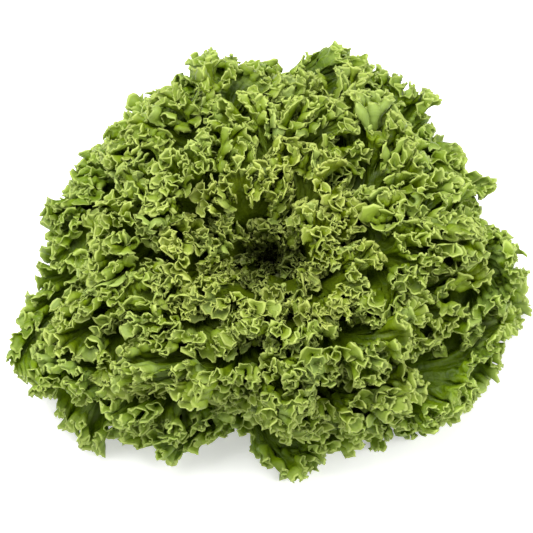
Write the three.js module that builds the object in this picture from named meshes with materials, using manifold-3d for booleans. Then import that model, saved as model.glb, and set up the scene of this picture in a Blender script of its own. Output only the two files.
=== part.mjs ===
// Lollo bionda lettuce: one cut head of a loose-leaf lettuce with densely frilled margins.
// Millimetres, +Z up. The origin is the centre of the cut face of the stem, which the head stands on.
// The head is a short stem and a rosette of separate leaves. Each leaf is a closed blade of its own, with a
// thick midrib at its root and a margin that folds to and fro. A leaf keeps to its own layer of the rosette,
// so the folds of one leaf never pass through the next.
import * as THREE from "three";
import { mergeVertices } from "three/addons/utils/BufferGeometryUtils.js";
import Module from "manifold-3d";

const wasm = await Module();
wasm.setup();

const radians = THREE.MathUtils.degToRad;
const mix = (a, b, t) => a + (b - a) * t;
const clamp01 = (t) => Math.min(1, Math.max(0, t));
const smooth = (a, b, t) => {
  const x = clamp01((t - a) / (b - a));
  return x * x * (3 - 2 * x);
};

// The rosette: leaf after leaf by the golden angle, from the outermost layer, 0, to the innermost
const LEAF_COUNT = 40;
const DIVERGENCE = radians(137.508);
const FIRST_AZIMUTH = radians(-62);
const COVERING = [3, 5, 8]; // two leaves cover one another in part where they are this many layers apart
const MOST_LAYERS = 4; // no fold reaches further than this from its own layer
const FREE_AIR = 1.1; // kept free on each side of a leaf, in mm
const RAMP_FROM = radians(5); // past the edge of a covering leaf by this, a fold may grow
const RAMP = 10; // layers per radian
const HOLLOW = { radius: 24, from: 20, full: 70 }; // free round the axis, and how far along a leaf it opens
const AXIS_SHARE = 0.8; // how much of the room towards the hollow a fold may take

// The stem: cut flat below, and tapering to the growing tip, as [radius, height]
const STEM_PROFILE = [
  [14.0, 0.0],
  [15.0, 2.0],
  [14.6, 8.0],
  [12.0, 18.0],
  [8.0, 29.0],
  [3.5, 38.0],
];
const STEM_TIP = 41;
const STEM_SIDES = 20;
const CLEARANCE = 0.3; // between the stem and the root of each leaf

// Where the outermost and the innermost leaf leave the stem, and how far they lean from upright, in degrees
const OUTER_LEAF = { root: [12.5, 6], leanAtRoot: 62, leanAtReach: 114, length: 148 };
const INNER_LEAF = { root: [3.0, 37], leanAtRoot: 14, leanAtReach: 12, length: 20 };
const LEAN_REACH = 150; // the leans "at reach" hold this far along a leaf
const LEAN_EASE = 1.05;
const LENGTH_EASE = 3.6;
const LENGTH_SPREAD = 0.07;

// The outline of half a leaf, from its tip round to its root: [share of the half width, share of the length]
const OUTLINE = [
  [0, 1],
  [0.4, 0.99],
  [0.78, 0.95],
  [0.98, 0.84],
  [1, 0.67],
  [0.9, 0.48],
  [0.66, 0.32],
  [0.46, 0.2],
  [0.38, 0.1],
  [0.38, 0],
];
const HALF_WIDTH = radians(41); // seen from the axis of the head
const WIDEST_HALF = DIVERGENCE - Math.PI / 2 - radians(5); // half way to the next leaf of the layer
const SIDE_GAP = 1.1; // kept free at that limit, in mm
const SHEATH = 0.6; // the roots of the innermost leaves wrap the stem, and are wider than the outline by this
const SHEATH_FADE = 0.75; // share of the length at which that has run out
const VEIN_RISE = 0.6; // side veins leave the midrib at this share of the height that they reach

// Blades and ribs
const BLADE_THICKNESS = 0.9;
const RIB_THICKNESS = { outer: 4.6, inner: 1.3 };
const RIB_WIDTH = { outer: 11, inner: 4.4 };
const RIB_FADE = 0.75; // share of the length at which the rib has run out

// Frills: the margin's folds fade out with the depth into the blade
const FOLD_LENGTH = { outer: 27.5, inner: 20 };
const ROOT_FOLDS = 1.5; // how much longer the folds are near the root
const ROOT_FOLDS_TO = [0.3, 0.7]; // and between which shares of the leaf's length that runs out
const FOLD_SPREAD = 0.33; // how uneven the folds are, as a share of their length
const FOLD_DEPTH = { outer: 30, inner: 18 };
const FRILLED_TO = [0.5, 0.8]; // the frills run out between these shares of the way from the tip to the root
const FOLD_STRENGTH = 0.85;
const FOLD_STRENGTH_SPREAD = 0.3;
const FOLD_FULLNESS = 2.4; // over 1, the crests are flattened against the room that a leaf has
const FOLD_OVERHANG = 0.11; // how far the folds swing past upright, as a share of their length
const DEEPEST_FOLD = 0.55; // as a share of the way from the margin to the midrib
const FOLD_BIAS = 0.35; // how far a fold may lean to one side
const BIAS_TURNS = 0.6; // draws a fold
const LOBE_HEIGHT = 5;
const LOBE_TURNS = 1.7; // draws a fold
const DRAWS = { length: 1, strength: 11, spacing: 41, bias: 71, lobe: 131 }; // where each row of draws starts

// The outermost leaves lie open: their folds are shallower, lower and more upright, and their lobes deeper.
// "from" and "full" are places in the rosette, from the innermost leaf at 0 to the outermost at 1. The others
// say by which share.
const OPEN_LEAVES = { from: 0.6, full: 0.92, shallower: 0.6, lower: 0.45, upright: 0.5, lobed: 0.8 };

// The plan of the head: how much further than the rule it reaches, by azimuth in steps of 15 degrees from +X
const PLAN = [
  0.11, -0.04, -0.075, 0.035, 0.085, 0.07, -0.05, 0.05, -0.035, -0.06, -0.07, -0.06,
  -0.11, 0.035, 0.055, 0.01, -0.13, -0.275, -0.24, -0.18, -0.18, -0.065, -0.015, 0.055,
];
const PLAN_FROM = 20; // the plan takes effect between these distances from the axis
const PLAN_FULL = 95;

// Slow swells that make the head uneven, by their wavelength and height in mm
const SWELLS = [
  { length: 180, height: 7.5, travel: [0.8, 0.5, 0.33], push: [0.2, -0.5, 0.84], phase: 0.6 },
  { length: 130, height: 5, travel: [-0.45, 0.85, 0.27], push: [0.75, 0.3, 0.59], phase: 2.3 },
  { length: 100, height: 3.4, travel: [0.3, 0.35, -0.89], push: [0.85, -0.45, 0.27], phase: 4 },
];
const SWELLS_FROM = 30; // the swells take effect between these distances from the origin
const SWELLS_FULL = 95;
const HEART_LEAN = 0.22; // mm towards -Y for each mm of height, between the same distances

// The floor, which the outer leaves settle on
const FLOOR_GAP = 1.1;
const FLOOR_SOFTNESS = 10;
const FLOOR_FROM = 25; // no leaf is settled nearer the axis than this

// A repeatable draw between 0 and 1
function draw(i, j) {
  const x = Math.sin(i * 12.9898 + j * 78.233 + 4.137) * 43758.5453;
  return x - Math.floor(x);
}

// A line that wanders between -1 and 1, with a new draw at each whole turn
function wander(i, turn, from) {
  const whole = Math.floor(turn);
  return 2 * mix(draw(i, whole + from), draw(i, whole + 1 + from), smooth(0, 1, turn - whole)) - 1;
}

// The curve through b and c, with a before and d after them, at t from 0 to 1
function between(a, b, c, d, t) {
  return b + 0.5 * t * (c - a + t * (2 * a - 5 * b + 4 * c - d + t * (3 * (b - c) + d - a)));
}

// Nearly t where t is small, and never past 1 or -1
const softLimit = (t, sharpness = 4) => t / (1 + Math.abs(t) ** sharpness) ** (1 / sharpness);

// Share of the way from the innermost leaf, 0, to the outermost, 1
const outwards = (layer) => 1 - layer / (LEAF_COUNT - 1);

// The line that a leaf of this layer follows, in the plane through the axis: its lean changes evenly along it
function meridian(layer, along) {
  const out = outwards(layer);
  const ease = Math.sign(out) * Math.abs(out) ** LEAN_EASE;
  const lean0 = radians(mix(INNER_LEAF.leanAtRoot, OUTER_LEAF.leanAtRoot, ease));
  const lean1 = radians(mix(INNER_LEAF.leanAtReach, OUTER_LEAF.leanAtReach, ease));
  const bend = (lean1 - lean0) / LEAN_REACH;
  const lean = lean0 + bend * along;
  const straight = Math.abs(bend) < 1e-6;
  const reach = straight ? along * Math.sin(lean0) : (Math.cos(lean0) - Math.cos(lean)) / bend;
  const rise = straight ? along * Math.cos(lean0) : (Math.sin(lean) - Math.sin(lean0)) / bend;
  return {
    rho: mix(INNER_LEAF.root[0], OUTER_LEAF.root[0], out) + reach,
    z: mix(INNER_LEAF.root[1], OUTER_LEAF.root[1], out) + rise,
    lean,
  };
}

// The distance from one layer to the next
function layerPitch(layer, along) {
  const here = meridian(layer, along);
  const inner = meridian(layer + 0.5, along);
  const outer = meridian(layer - 0.5, along);
  return (outer.rho - inner.rho) * Math.cos(here.lean) - (outer.z - inner.z) * Math.sin(here.lean);
}

function planStretch(azimuth) {
  const step = (2 * Math.PI) / PLAN.length;
  const turn = (((azimuth / step) % PLAN.length) + PLAN.length) % PLAN.length;
  const i = Math.floor(turn);
  const [a, b, c, d] = [-1, 0, 1, 2].map((o) => PLAN[(i + o + PLAN.length) % PLAN.length]);
  return between(a, b, c, d, turn - i);
}

// A point of the even rosette, moved to where it lies in this head
function settle(p) {
  const plan = 1 + planStretch(Math.atan2(p.y, p.x)) * smooth(PLAN_FROM, PLAN_FULL, Math.hypot(p.x, p.y));
  const q = new THREE.Vector3(p.x * plan, p.y * plan, p.z);
  const share = smooth(SWELLS_FROM, SWELLS_FULL, p.length());
  q.y -= HEART_LEAN * share * p.z;
  for (const { length, height, travel, push, phase } of SWELLS) {
    const wave = Math.sin((2 * Math.PI * p.dot(new THREE.Vector3(...travel))) / length + phase);
    q.addScaledVector(new THREE.Vector3(...push), height * share * wave);
  }
  const above = q.z - FLOOR_GAP;
  if (Math.hypot(q.x, q.y) > FLOOR_FROM) {
    q.z = FLOOR_GAP + 0.5 * (above + Math.sqrt(above * above + FLOOR_SOFTNESS));
  }
  return q;
}

// The outline at a share of the way from the tip, 0, to the root, 1
function outlineAt(share) {
  const last = OUTLINE.length - 1;
  const turn = clamp01(share) * last;
  const i = Math.min(last - 1, Math.floor(turn));
  const mirrored = [-OUTLINE[1][0], OUTLINE[1][1]];
  const point = (j) => (j < 0 ? mirrored : OUTLINE[Math.min(j, last)]);
  return [0, 1].map((axis) => {
    const [a, b, c, d] = [-1, 0, 1, 2].map((o) => point(i + o)[axis]);
    return between(a, b, c, d, turn - i);
  });
}

// The share of the way round the outline at which it has this height
const HALVINGS = 24;
function shareAtHeight(high) {
  let [low, top] = [0, 1];
  for (let step = 0; step < HALVINGS; step++) {
    const middle = (low + top) / 2;
    if (outlineAt(middle)[1] > high) low = middle;
    else top = middle;
  }
  return low;
}

// What sets one leaf apart from the others
function leafPlan(layer) {
  const out = outwards(layer);
  const even = mix(INNER_LEAF.length, OUTER_LEAF.length, 1 - (1 - out) ** LENGTH_EASE);
  const openness = smooth(OPEN_LEAVES.from, OPEN_LEAVES.full, out);
  const leaf = {
    layer,
    out,
    openness,
    length: even * (1 + LENGTH_SPREAD * (2 * draw(layer, DRAWS.length) - 1)),
    azimuth: FIRST_AZIMUTH + layer * DIVERGENCE,
    foldDepth: mix(FOLD_DEPTH.inner, FOLD_DEPTH.outer, out) * (1 - OPEN_LEAVES.shallower * openness),
  };
  leaf.folds = foldTable(leaf);
  return leaf;
}

// A point of the flat leaf. share runs round the margin, from the root at -1 past the tip at 0 to the root
// at 1, and inset from the margin, 0, to the midrib, 1. The result is the angle about the head's axis, the
// distance along the leaf, the depth from the margin, and the whole way from the margin to the midrib.
function flatPoint(leaf, share, inset) {
  const [outline, high] = outlineAt(Math.abs(share));
  const wide = outline + (1 - leaf.out) * SHEATH * (1 - smooth(0, SHEATH_FADE, high));
  const top = high * leaf.length;
  const angle = Math.sign(share) * wide * HALF_WIDTH;
  const from = VEIN_RISE * top;
  const ray = Math.hypot(angle * meridian(leaf.layer, top).rho, top - from);
  return { angle: angle * (1 - inset), along: mix(top, from, inset), depth: ray * inset, ray };
}

function foldLength(leaf, turn, along) {
  const even = mix(FOLD_LENGTH.inner, FOLD_LENGTH.outer, leaf.out);
  const longer = mix(ROOT_FOLDS, 1, smooth(...ROOT_FOLDS_TO, along / leaf.length));
  return even * longer * (1 + FOLD_SPREAD * wander(leaf.layer, turn, DRAWS.spacing));
}

// How many folds lie between the root and each step round the margin
const TABLE_STEPS = 200;
function foldTable(leaf) {
  const table = [0];
  let before = flatPoint(leaf, -1, 0);
  for (let i = 1; i <= TABLE_STEPS; i++) {
    const now = flatPoint(leaf, -1 + (2 * i) / TABLE_STEPS, 0);
    const rho = meridian(leaf.layer, now.along).rho;
    const step = Math.hypot((now.angle - before.angle) * rho, now.along - before.along);
    table.push(table[i - 1] + step / foldLength(leaf, table[i - 1], now.along));
    before = now;
  }
  const count = 2 * Math.round(table[TABLE_STEPS] / 2);
  const tip = table[TABLE_STEPS / 2];
  const side = (t) => (t < tip ? t / tip : 1 + (t - tip) / (table[TABLE_STEPS] - tip));
  const turns = table.map((t) => 0.5 * count * side(t)); // the tip has as many folds on either side
  return { turns, count };
}

function foldTurn(leaf, share) {
  const x = ((share + 1) / 2) * TABLE_STEPS;
  const i = Math.min(TABLE_STEPS - 1, Math.max(0, Math.floor(x)));
  return mix(leaf.folds.turns[i], leaf.folds.turns[i + 1], x - i);
}

function shareAtTurn(leaf, turn) {
  const { turns } = leaf.folds;
  const found = turns.findIndex((t) => t >= turn);
  const i = found < 0 ? TABLE_STEPS : found;
  if (i === 0) return -1;
  const t = (turn - turns[i - 1]) / (turns[i] - turns[i - 1]);
  return -1 + (2 * (i - 1 + t)) / TABLE_STEPS;
}

// The most that a leaf's half width can be at a share of its length: a simple curve outside its outline
const BOUND = { atRoot: 0.45, from: 0.02, full: 0.5 };
function widthBound(layer, high) {
  const sheath = (1 - outwards(layer)) * SHEATH * (1 - smooth(0, SHEATH_FADE, high));
  return Math.min(1, mix(BOUND.atRoot, 1, smooth(BOUND.from, BOUND.full, high)) + sheath);
}

// The room in mm that a leaf has at an azimuth, towards the inner leaves (side 1) or the outer ones (side -1)
function room(leaf, azimuth, along, side) {
  let layers = MOST_LAYERS;
  for (const apart of COVERING) {
    const other = leaf.layer + side * apart;
    if (other < 0 || other >= LEAF_COUNT) continue;
    const turn = azimuth - FIRST_AZIMUTH - other * DIVERGENCE;
    const covered = WIDEST_HALF * widthBound(other, along / leaf.length) + RAMP_FROM;
    const away = Math.abs(turn - 2 * Math.PI * Math.round(turn / (2 * Math.PI))) - covered;
    layers = Math.min(layers, apart / 2 + RAMP * Math.max(0, away));
  }
  const onLeaf = Math.max(0, along);
  const open = Math.max(0, layers * layerPitch(leaf.layer, onLeaf) - 0.5 * BLADE_THICKNESS - FREE_AIR);
  const hollow = HOLLOW.radius * smooth(HOLLOW.from, HOLLOW.full, onLeaf);
  const clear = AXIS_SHARE * Math.max(0, meridian(leaf.layer, onLeaf).rho - hollow);
  return side > 0 ? Math.min(open, clear) : open;
}

// A point of the folded blade in the head. A fold pushes the blade towards the next layers, and swings it
// along the margin, so that its sides stand upright or hang over.
const SHARE_STEP = 0.01;
const LEAST_RHO = 4; // nearer the axis than this, a leaf is as curved as here
const SIDE_SHARPNESS = 8; // how late a swing gives way to the limit at a leaf's side
function bladePoint(leaf, share, inset) {
  const flat = flatPoint(leaf, share, inset);
  const onLeaf = Math.max(0, flat.along);
  const rho = Math.max(LEAST_RHO, meridian(leaf.layer, flat.along).rho);
  const turn = foldTurn(leaf, share);
  const phase = 2 * Math.PI * turn;
  const frilled = 1 - smooth(...FRILLED_TO, Math.abs(share));
  const fade = Math.exp(-flat.depth / leaf.foldDepth) * (1 - inset);
  const uneven = FOLD_STRENGTH_SPREAD * wander(leaf.layer, turn, DRAWS.strength);
  const strength = frilled * (1 - OPEN_LEAVES.lower * leaf.openness) * (FOLD_STRENGTH + uneven);
  const bias = frilled * FOLD_BIAS * wander(leaf.layer, BIAS_TURNS * turn, DRAWS.bias);
  const push = fade * (strength * Math.sin(phase) + bias);
  const open = room(leaf, leaf.azimuth + flat.angle, flat.along, push < 0 ? 1 : -1);
  const across = Math.min(open, DEEPEST_FOLD * flat.ray) * softLimit(FOLD_FULLNESS * push);

  const hangingOver = FOLD_OVERHANG * (1 - OPEN_LEAVES.upright * leaf.openness);
  const overhang = hangingOver * foldLength(leaf, turn, flat.along);
  const swing = -overhang * strength * fade * fade * Math.sin(2 * phase);
  const lobeHeight = LOBE_HEIGHT * (1 + OPEN_LEAVES.lobed * leaf.openness);
  const lobe = lobeHeight * frilled * fade * wander(leaf.layer, LOBE_TURNS * turn, DRAWS.lobe);
  const before = flatPoint(leaf, share - SHARE_STEP, inset);
  const after = flatPoint(leaf, share + SHARE_STEP, inset);
  const sideways = (after.angle - before.angle) * rho;
  const tangent = new THREE.Vector2(sideways, after.along - before.along).normalize();
  const along = flat.along + swing * tangent.y + lobe * tangent.x;
  const widest = WIDEST_HALF - SIDE_GAP / rho;
  const angle = flat.angle + (swing * tangent.x) / rho;
  const azimuth = leaf.azimuth + widest * softLimit(angle / widest, SIDE_SHARPNESS);

  const at = meridian(leaf.layer - across / layerPitch(leaf.layer, onLeaf), along);
  return settle(new THREE.Vector3(at.rho * Math.cos(azimuth), at.rho * Math.sin(azimuth), at.z));
}

function thicknessAt(leaf, share, inset) {
  const flat = flatPoint(leaf, share, inset);
  const aside = Math.abs(flat.angle) * Math.max(LEAST_RHO, meridian(leaf.layer, flat.along).rho);
  const wide = mix(RIB_WIDTH.inner, RIB_WIDTH.outer, leaf.out);
  const thick = mix(RIB_THICKNESS.inner, RIB_THICKNESS.outer, smooth(0.3, 1, leaf.out));
  const rib = (1 - smooth(0, RIB_FADE, flat.along / leaf.length)) * (1 - smooth(0.2, 1, aside / wide));
  return mix(BLADE_THICKNESS, thick, rib);
}

// The rings of a blade from its margin to its midrib: [share of the margin's points, inset]
const RINGS = [
  [1, 0],
  [0.5, 0.24],
  [0.25, 0.58],
  [0.25, 1],
];
const NARROW_RINGS = [
  [1, 0],
  [0.5, 0.42],
  [0.5, 1],
];
const NARROW_LEAF = 0.2; // leaves nearer the axis than this share take the narrow rings
const POINTS_A_FOLD = 4;
const OFF_CREST = 0.125; // the points lie this far off the crests, so that a crest is flat and not a point

// The middle surface of a leaf: points, thicknesses and triangles, with the midrib's two sides sewn together
function bladeSheet(leaf) {
  const points = [];
  const thickness = [];
  const shareAt = (i, count) => {
    const inside = i > 0 && i < count;
    return shareAtTurn(leaf, (i / count) * leaf.folds.count - (inside ? OFF_CREST : 0));
  };
  // The midrib's points go with the ends of the rings near the root, and are evenly spaced towards the tip
  const ribShare = (i, count) => {
    const [left, right] = [i, count - i].map((j) => outlineAt(Math.abs(shareAt(j, count)))[1]);
    const tipward = (2 * i) / count;
    return -shareAtHeight(mix(0.5 * (left + right), tipward, tipward));
  };
  const rings = (leaf.out < NARROW_LEAF ? NARROW_RINGS : RINGS).map(([part, inset]) => {
    const count = Math.round(leaf.folds.count * POINTS_A_FOLD * part);
    const onRib = inset === 1;
    const ring = [];
    for (let i = 0; i <= count; i++) {
      if (onRib && i > count / 2) {
        ring.push(ring[count - i]);
        continue;
      }
      const share = onRib ? ribShare(i, count) : shareAt(i, count);
      ring.push(points.length);
      points.push(bladePoint(leaf, share, inset));
      thickness.push(thicknessAt(leaf, share, inset));
    }
    return ring;
  });
  const triangles = [];
  const add = (a, b, c) => {
    if (a !== b && b !== c && a !== c) triangles.push([a, b, c]);
  };
  for (let r = 0; r + 1 < rings.length; r++) {
    const [outer, inner] = [rings[r], rings[r + 1]];
    const alike = outer.length === inner.length;
    for (let i = 0; i < inner.length - 1; i++) {
      if (alike) {
        add(outer[i], outer[i + 1], inner[i + 1]);
        add(outer[i], inner[i + 1], inner[i]);
      } else {
        add(outer[2 * i], outer[2 * i + 1], inner[i]);
        add(outer[2 * i + 1], inner[i + 1], inner[i]);
        add(outer[2 * i + 1], outer[2 * i + 2], inner[i + 1]);
      }
    }
  }
  const middle = rings.slice(1, -1);
  const lastPoints = middle.map((ring) => ring.at(-1));
  const firstPoints = middle.map((ring) => ring[0]).reverse();
  const border = [...rings[0], ...lastPoints, rings.at(-1)[0], ...firstPoints];
  easeCorners(points, triangles);
  return { points, thickness, triangles, border };
}

// At each point of a sheet, the direction that stands out from every face round it as evenly as it can, and
// how far it stands out from the worst of them
const NORMAL_STEPS = 40;
function standOut(points, triangles) {
  const around = points.map(() => []);
  for (const [a, b, c] of triangles) {
    const edge = new THREE.Vector3().subVectors(points[b], points[a]);
    const face = edge.cross(new THREE.Vector3().subVectors(points[c], points[a])).normalize();
    for (const i of [a, b, c]) around[i].push(face);
  }
  return around.map((faces) => {
    const normal = faces.reduce((sum, face) => sum.add(face), new THREE.Vector3()).normalize();
    for (let step = 0; step < NORMAL_STEPS; step++) {
      const worst = faces.reduce((a, face) => (face.dot(normal) < a.dot(normal) ? face : a));
      normal.addScaledVector(worst, 1 / (step + 3)).normalize();
    }
    return { normal, least: Math.min(...faces.map((face) => face.dot(normal))) };
  });
}

// Corners too sharp to thicken are eased towards their neighbours
const SHARPEST = 0.4;
const EASE_PASSES = 20;
const EASE_SHARE = 0.4;
function easeCorners(points, triangles) {
  const neighbours = points.map(() => new Set());
  for (const [a, b, c] of triangles) {
    neighbours[a].add(b).add(c);
    neighbours[b].add(a).add(c);
    neighbours[c].add(a).add(b);
  }
  for (let pass = 0; pass < EASE_PASSES; pass++) {
    const sharp = standOut(points, triangles).map(({ least }) => least < SHARPEST);
    if (!sharp.includes(true)) return;
    const moved = points.map((p, i) => {
      if (!sharp[i]) return p.clone();
      const mean = new THREE.Vector3();
      for (const j of neighbours[i]) mean.addScaledVector(points[j], 1 / neighbours[i].size);
      return p.clone().lerp(mean, EASE_SHARE);
    });
    moved.forEach((p, i) => points[i].copy(p));
  }
}

const solidFrom = (vertProperties, triVerts) =>
  new wasm.Manifold(new wasm.Mesh({ numProp: 3, vertProperties, triVerts }));

// A blade as a closed solid: the sheet, thickened to both sides, and a rim round its border
const LEAST_MITER = 0.6; // keeps the corners of sharp folds short
function thicken({ points, thickness, triangles, border }) {
  const offsets = standOut(points, triangles).map(({ normal, least }, i) =>
    normal.multiplyScalar((0.5 * thickness[i]) / Math.max(LEAST_MITER, least)),
  );
  const count = points.length;
  const vertices = [
    ...points.map((p, i) => p.clone().add(offsets[i])),
    ...points.map((p, i) => p.clone().sub(offsets[i])),
  ];
  const faces = triangles.flatMap(([a, b, c]) => [[a, b, c], [a + count, c + count, b + count]]);
  border.forEach((a, i) => {
    const b = border[(i + 1) % border.length];
    faces.push([b, a, a + count], [b, a + count, b + count]);
  });
  const vertProperties = new Float32Array(vertices.flatMap((v) => v.toArray()));
  return solidFrom(vertProperties, new Uint32Array(faces.flat()));
}

function geometryFrom(solid) {
  const { numProp, numVert, vertProperties, triVerts } = solid.getMesh();
  const positions = new Float32Array(numVert * 3);
  for (let i = 0; i < numVert; i++) {
    positions.set(vertProperties.subarray(i * numProp, i * numProp + 3), i * 3);
  }
  return new THREE.BufferGeometry()
    .setAttribute("position", new THREE.BufferAttribute(positions, 3))
    .setIndex(new THREE.BufferAttribute(new Uint32Array(triVerts), 1));
}

// The stem, or the same form grown all round by a margin
function stemSolid(grow) {
  const profile = [
    new THREE.Vector2(0, -grow),
    ...STEM_PROFILE.map(([r, z]) => new THREE.Vector2(r + grow, z === 0 ? -grow : z)),
    new THREE.Vector2(0, STEM_TIP + grow),
  ];
  const lathe = new THREE.LatheGeometry(profile, STEM_SIDES).rotateX(Math.PI / 2);
  lathe.deleteAttribute("normal");
  lathe.deleteAttribute("uv");
  const merged = mergeVertices(lathe, 1e-4);
  return solidFrom(merged.attributes.position.array, new Uint32Array(merged.index.array));
}

// Materials
const STEM_COLOUR = new THREE.Color(0.72, 0.76, 0.5);
const OUTER_COLOUR = new THREE.Color(0.3, 0.47, 0.09);
const INNER_COLOUR = new THREE.Color(0.52, 0.62, 0.2);
const stemMaterial = new THREE.MeshStandardMaterial({ color: STEM_COLOUR, roughness: 0.6, metalness: 0 });
const leafMaterial = (out) =>
  new THREE.MeshStandardMaterial({
    color: INNER_COLOUR.clone().lerp(OUTER_COLOUR, out),
    roughness: 0.5,
    metalness: 0,
    side: THREE.DoubleSide,
  });

const head = new THREE.Group();

const stem = new THREE.Mesh(geometryFrom(stemSolid(0)), stemMaterial);
stem.name = "stem";
head.add(stem);

const stemSpace = stemSolid(CLEARANCE);
for (let layer = 0; layer < LEAF_COUNT; layer++) {
  const leaf = leafPlan(layer);
  const pieces = thicken(bladeSheet(leaf)).subtract(stemSpace).decompose();
  const largest = pieces.reduce((a, b) => (b.volume() > a.volume() ? b : a));
  const mesh = new THREE.Mesh(geometryFrom(largest), leafMaterial(leaf.out));
  mesh.name = `leaf_${String(layer + 1).padStart(2, "0")}`;
  head.add(mesh);
}

export default head;
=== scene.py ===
"""The looks of the lettuce head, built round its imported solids.

Each leaf's solid is replaced by a finer blade that follows the same layer, outline and large folds, with the
ruffles, curls and teeth of its margin, its midrib, and veins. The stem is replaced by a finer one, too.
Lengths are in millimetres until a mesh is made."""

import math

import bpy
import numpy as np
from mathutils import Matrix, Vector


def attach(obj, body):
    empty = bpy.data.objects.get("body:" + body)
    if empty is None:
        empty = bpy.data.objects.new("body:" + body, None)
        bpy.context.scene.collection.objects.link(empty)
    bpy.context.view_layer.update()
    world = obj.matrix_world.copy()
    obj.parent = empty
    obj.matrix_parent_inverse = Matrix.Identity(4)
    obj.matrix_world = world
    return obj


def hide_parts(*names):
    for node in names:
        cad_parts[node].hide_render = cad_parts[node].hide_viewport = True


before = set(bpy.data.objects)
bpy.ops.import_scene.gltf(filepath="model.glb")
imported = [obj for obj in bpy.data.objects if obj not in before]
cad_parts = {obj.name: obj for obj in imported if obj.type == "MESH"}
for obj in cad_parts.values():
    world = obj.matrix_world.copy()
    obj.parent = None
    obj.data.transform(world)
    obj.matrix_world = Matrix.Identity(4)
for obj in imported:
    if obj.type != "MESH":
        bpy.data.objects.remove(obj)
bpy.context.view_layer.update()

MM = 0.001

# The rosette, as in the solids: leaf after leaf by the golden angle, from the outermost layer, 0, inwards
LEAF_COUNT = 40
DIVERGENCE = math.radians(137.508)
FIRST_AZIMUTH = math.radians(-62)
COVERING = (3, 5, 8)  # two leaves cover one another in part where they are this many layers apart
MOST_LAYERS = 4  # no fold reaches further than this from its own layer
FREE_AIR = 1.1  # kept free on each side of a solid leaf
RAMP_FROM = math.radians(5)  # past the edge of a covering leaf by this, a fold may grow
RAMP = 10  # layers per radian
# The hollow round the axis that no fold enters: its radius, and where it begins and is full along a leaf
HOLLOW_RADIUS, HOLLOW_FROM, HOLLOW_FULL = 24, 20, 70
AXIS_SHARE = 0.8  # how much of the room towards the hollow a fold may take

# The stem as [radius, height]
STEM_PROFILE = np.array(
    [[14.0, 0.0], [15.0, 2.0], [14.6, 8.0], [12.0, 18.0], [8.0, 29.0], [3.5, 38.0], [0.0, 41.0]]
)
CLEARANCE = 0.3  # between the stem and the root of each leaf
STEM_SEARCH, SEARCH_STEPS = 30, 300  # how far along a leaf's line the stem's end is looked for

# Where the outermost and the innermost leaf leave the stem, as (radius, height), and how many degrees they
# lean from upright there and at LEAN_REACH along them
OUTER_ROOT, INNER_ROOT = (12.5, 6.0), (3.0, 37.0)
OUTER_LEANS, INNER_LEANS = (62, 114), (14, 12)
LEAN_REACH = 150
LEAN_EASE = 1.05  # over 1, the inner layers are the more alike in lean
LEAST_BEND = 1e-6  # a straight leaf is bent by this, in radians for each mm
OUTER_LENGTH, INNER_LENGTH = 148, 20
LENGTH_EASE = 3.6  # the higher, the sooner the leaves are long from the heart outwards
LENGTH_SPREAD = 0.07

# The outline of half a leaf, from its tip to its root: [share of the half width, share of the length]
OUTLINE = np.array(
    [[0, 1], [0.4, 0.99], [0.78, 0.95], [0.98, 0.84], [1, 0.67]]
    + [[0.9, 0.48], [0.66, 0.32], [0.46, 0.2], [0.38, 0.1], [0.38, 0]]
)
HALF_WIDTH = math.radians(41)  # seen from the axis of the head
WIDEST_HALF = DIVERGENCE - math.pi / 2 - math.radians(5)  # half way to the next leaf of the layer
SIDE_GAP = 1.1  # kept free at that limit
SIDE_SHARPNESS = 8  # how late a swing gives way to the limit at a leaf's side
# The most that a half width is at the root, as a share of WIDEST_HALF, and between which shares of the length
# it grows to all of it
BOUND_AT_ROOT, BOUND_FROM, BOUND_FULL = 0.45, 0.02, 0.5
SHEATH = 0.6  # the roots of the innermost leaves wrap the stem, and are wider than the outline by this
SHEATH_FADE = 0.75  # share of the length at which that has run out
VEIN_RISE = 0.6  # side veins leave the midrib at this share of the height that they reach
SOLID_BLADE = 0.9  # thickness of a solid blade
LEAST_RHO = 4  # nearer the axis than this, a leaf is as curved as here

# The large folds of a margin
FOLD_LENGTH_OUTER, FOLD_LENGTH_INNER = 27.5, 20
ROOT_FOLDS = 1.5  # how much longer the folds are near the root
ROOT_FOLDS_TO = (0.3, 0.7)  # and between which shares of the leaf's length that runs out
FOLD_SPREAD = 0.33  # how uneven the folds are, as a share of their length
FOLD_DEPTH_OUTER, FOLD_DEPTH_INNER = 30, 18
FRILLED_TO = (0.5, 0.8)  # the folds run out between these shares of the way from the tip to the root
FOLD_STRENGTH, FOLD_STRENGTH_SPREAD = 0.85, 0.3
FOLD_FULLNESS = 2.4  # over 1, the crests are flattened against the room that a leaf has
FOLD_OVERHANG = 0.27  # how far a fold's sides hang over, as a share of its length: more than in the solids
DEEPEST_FOLD = 0.55  # as a share of the way from the margin to the midrib
FOLD_BIAS, BIAS_TURNS = 0.35, 0.6  # how far a fold may lie to one side, and draws for each fold
LOBE_HEIGHT, LOBE_TURNS = 5, 1.7  # how far the lobes of the margin reach, and draws for each fold
TABLE_STEPS = 200  # round the margin, where the folds are counted

# The outer leaves lie open, more and more between these shares of the way from the innermost leaf outwards.
# By the other shares, their folds are shallower, lower and more upright, their lobes deeper, and their finer
# waves lower.
OPEN_FROM, OPEN_FULL = 0.6, 0.92
SHALLOWER, LOWER, UPRIGHT, LOBED, CALMER = 0.6, 0.45, 0.5, 0.8, 0.15

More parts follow.
